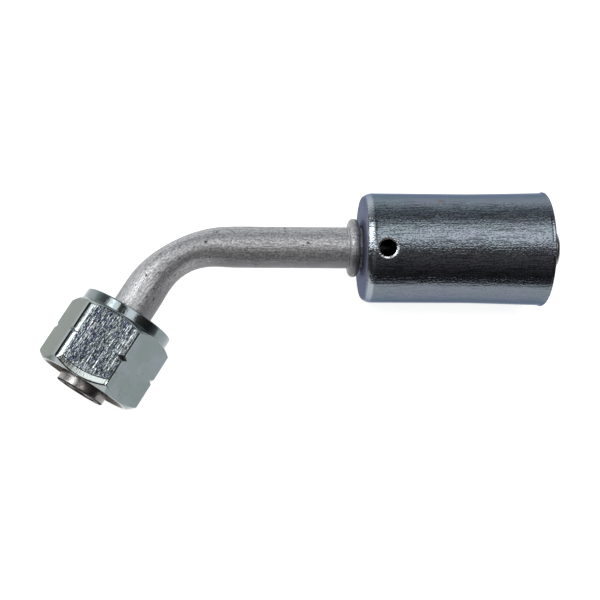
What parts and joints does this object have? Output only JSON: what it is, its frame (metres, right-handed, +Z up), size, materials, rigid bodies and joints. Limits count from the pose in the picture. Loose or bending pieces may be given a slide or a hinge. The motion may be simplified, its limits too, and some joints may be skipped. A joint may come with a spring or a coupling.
{
  "type": "hose end fitting",
  "caption": "Crimp-on hose-end fitting: plated ferrule with a sight hole over a barbed stem, bent aluminium tube with a bead, and a hexagonal swivel nut around an O-ring pilot.",
  "frame": {"origin": "centre of the bottom of the bounding box", "axes": "+X along the ferrule's axis towards the hose, +Z up across the level plane of the bend, nut towards -X and -Y"},
  "size_m": [0.1186, 0.0508, 0.0267],
  "materials": {
    "nut_plating": "bright zinc plating over a machined hexagon, with drawn scratches",
    "pilot_aluminium": "machined, with fine turning marks",
    "seal_rubber": "smooth moulded rubber",
    "tube_aluminium": "dull mill finish with nicks and drawn scratches",
    "ferrule_plating": "bright zinc plating over fine lengthwise draw marks",
    "stem_aluminium": "machined, slightly dull"
  },
  "bodies": {
    "tube_assembly": {"bent_tube": "tube_aluminium", "o_ring_pilot": "pilot_aluminium", "hose_stem": "stem_aluminium"},
    "seal": {"o_ring": "seal_rubber"},
    "nut": {"swivel_nut": "nut_plating"},
    "crimp_shell": {"ferrule": "ferrule_plating"}
  },
  "joints": [
    {"name": "nut_swivel", "type": "hinge", "parent": "tube_assembly", "child": "seal", "pos_m": [-0.04758, -0.0173, 0.01333], "axis": [-0.5195, -0.8545, 0], "continuous": true},
    {"name": "nut_slide", "type": "slide", "parent": "seal", "child": "nut", "axis": [-0.5195, -0.8545, 0], "range_m": [-0.0045, 0.0055]},
    {"name": "ferrule_spin", "type": "hinge", "parent": "tube_assembly", "child": "crimp_shell", "pos_m": [0.01331, 0.01203, 0.01333], "axis": [1, 0, 0], "continuous": true}
  ]
}
